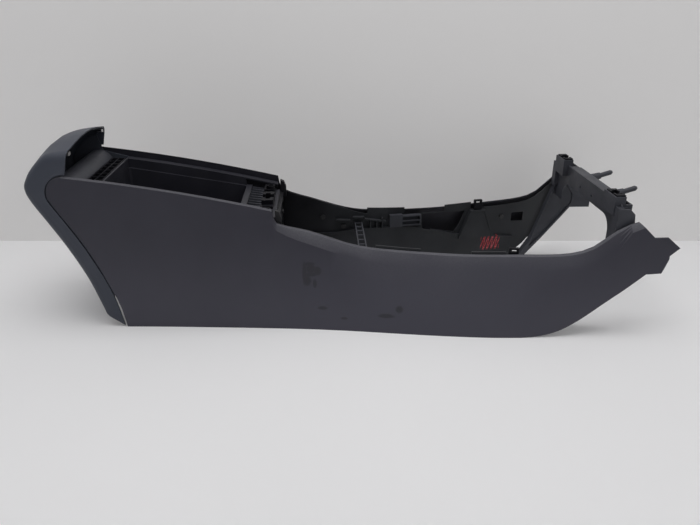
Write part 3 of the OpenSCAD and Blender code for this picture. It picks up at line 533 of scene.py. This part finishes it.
smoothed = {
    "right_side_panel": {"slot": "panel_plastic", "finish": "panel_plastic", "crease": 16,
                         "others": ("panel_inner_painted_shade",)},
    "left_side_panel": {"slot": "panel_plastic", "finish": "panel_plastic", "crease": 16,
                        "others": ("panel_inner_painted_shade",)},
    "rear_cap": {"slot": "cap_plastic", "finish": "cap_plastic", "crease": 24, "others": ("cap_inner",)},
    "hinge_cover": {"slot": "frame_plastic", "finish": "bridge_plastic", "crease": 24, "others": ()},
    "inner_frame": {"slot": "frame_plastic", "finish": "frame_plastic", "crease": 24,
                    "others": ("bridge_plastic",)},
    "storage_bin": {"slot": "black_plastic", "finish": "bin_plastic", "crease": 30, "others": ()},
}
softEdge = {"width": 0.0005, "segments": 2, "angle": 38}
weld = {"distance": 0.00002, "flat": 0.4}  # metres, and degrees between faces that count as one
capCore = Vector((0.120 - middle, 0, 0.20))  # a point in the hollow of the rear cap
# Struts and bridge are paler than the frame's walls, whose inner face runs out with X
frameWall = {"from": 0.866 - middle, "to": 0.936 - middle, "y": 0.1399, "slope": 0.0785, "slack": 0.0004}
# The part's own rail line, and how far its outer and inner top edges move
railRoll = {
    "start": 0.062, "end": 0.388, "height": 0.270, "fall": 0.061, "line": 0.69,
    "down": 0.0018, "in": 0.0011,
}


def zoneOf(name, face):
    centre = face.calc_center_median()
    if name == "rear_cap":
        return 1 if face.normal.dot(capCore - Vector((centre.x, 0, centre.z))) > 0.02 else 0
    if name == "inner_frame":
        ahead = centre.x - frameWall["from"]
        inner = frameWall["y"] + frameWall["slope"] * ahead - frameWall["slack"]
        onWall = centre.x < frameWall["to"] and abs(centre.y) > inner
        return 1 if ahead > 0 and not onWall else 0
    # Side panels: inward-facing faces take the painted shade finish
    if name.endswith("side_panel"):
        side = -1 if name.startswith("right") else 1
        return 1 if face.normal.y * side < -0.2 else 0
    return 0


def rollRail(bm):
    run = railRoll["end"] - railRoll["start"]
    for vert in bm.verts:
        station = vert.co.x + middle
        if not railRoll["start"] - 0.004 < station < railRoll["end"] - 0.001:
            continue
        u = (station - railRoll["start"]) / run
        sag = railRoll["line"] * u + (1 - railRoll["line"]) * u * u
        below = railRoll["height"] - railRoll["fall"] * sag - vert.co.z
        out = abs(vert.co.y)
        if 0.0005 < below < 0.0016 and out > 0.0984:
            vert.co.z -= railRoll["down"]
        elif abs(below) < 0.0003 and 0.0970 < out < 0.0982:
            vert.co.y -= math.copysign(railRoll["in"], vert.co.y)


def smoothCopy(name, finishes):
    values = smoothed[name]
    bm = bmesh.new()
    bm.from_mesh(nodes[name].data)
    bmesh.ops.remove_doubles(bm, verts=bm.verts, dist=weld["distance"])
    if name.endswith("side_panel"):
        rollRail(bm)
    bm.normal_update()
    for face in bm.faces:
        face.material_index = zoneOf(name, face)
    bmesh.ops.dissolve_limit(
        bm, angle_limit=math.radians(weld["flat"]), verts=bm.verts, edges=bm.edges,
        use_dissolve_boundaries=False, delimit={"MATERIAL"}
    )
    for face in bm.faces:
        face.smooth = True
    crease = math.radians(values["crease"])
    for edge in bm.edges:
        edge.smooth = len(edge.link_faces) == 2 and edge.calc_face_angle(0) < crease
    piece = objectFrom(bm, name + "_shell", finishes[values["finish"]])
    for other in values["others"]:
        piece.data.materials.append(finishes[other])
    soften = piece.modifiers.new("soften", "BEVEL")
    soften.width = softEdge["width"]
    soften.segments = softEdge["segments"]
    soften.limit_method = "ANGLE"
    soften.angle_limit = math.radians(softEdge["angle"])
    soften.harden_normals = False
    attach(piece, "root")
    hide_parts(name)
    return piece


finishOf = {
    "bright_steel": ("cap_clips",),
    "dull_steel": ("hinge_screws", "bin_screws", "frame_screws", "panel_screws"),
    "cap_inner": ("rear_carrier",),
    "black_plastic": ("hinge_mount", "latch_block", "right_stop_bracket",
                      "left_stop_bracket", "right_rail_clip", "left_rail_clip",
                      "right_bridge_clip", "left_bridge_clip"),
    "bridge_plastic": ("rib_plate", "right_slot_guide", "left_slot_guide", "cross_brace"),
}


makeCamera()
makeStage()
makeLamps()

grainGroup = mouldedGrain()
dustAndTopLightGroup = makeDustAndTopLight()
finishes = {name: makePlastic(name, grainGroup, dustAndTopLightGroup) for name in plastics}
for name in steels:
    finishes[name] = makeSteel(name)
# painted bounce light toward the panels' feet
shiftTone(finishes["panel_plastic"], "Z", "foot", True)
# painted shade toward the frame's rear
shiftTone(finishes["frame_plastic"], "X", "rear", True)
shiftTone(finishes["frame_plastic"], "X", "nose", False)
addSmudges(finishes["panel_plastic"])
addCrayon(finishes["frame_plastic"])
print("finishes made")

for finish, names in finishOf.items():
    for name in names:
        for slot in nodes[name].material_slots:
            slot.material = finishes[finish]
for name in smoothed:
    smoothCopy(name, finishes)
print("shells made")
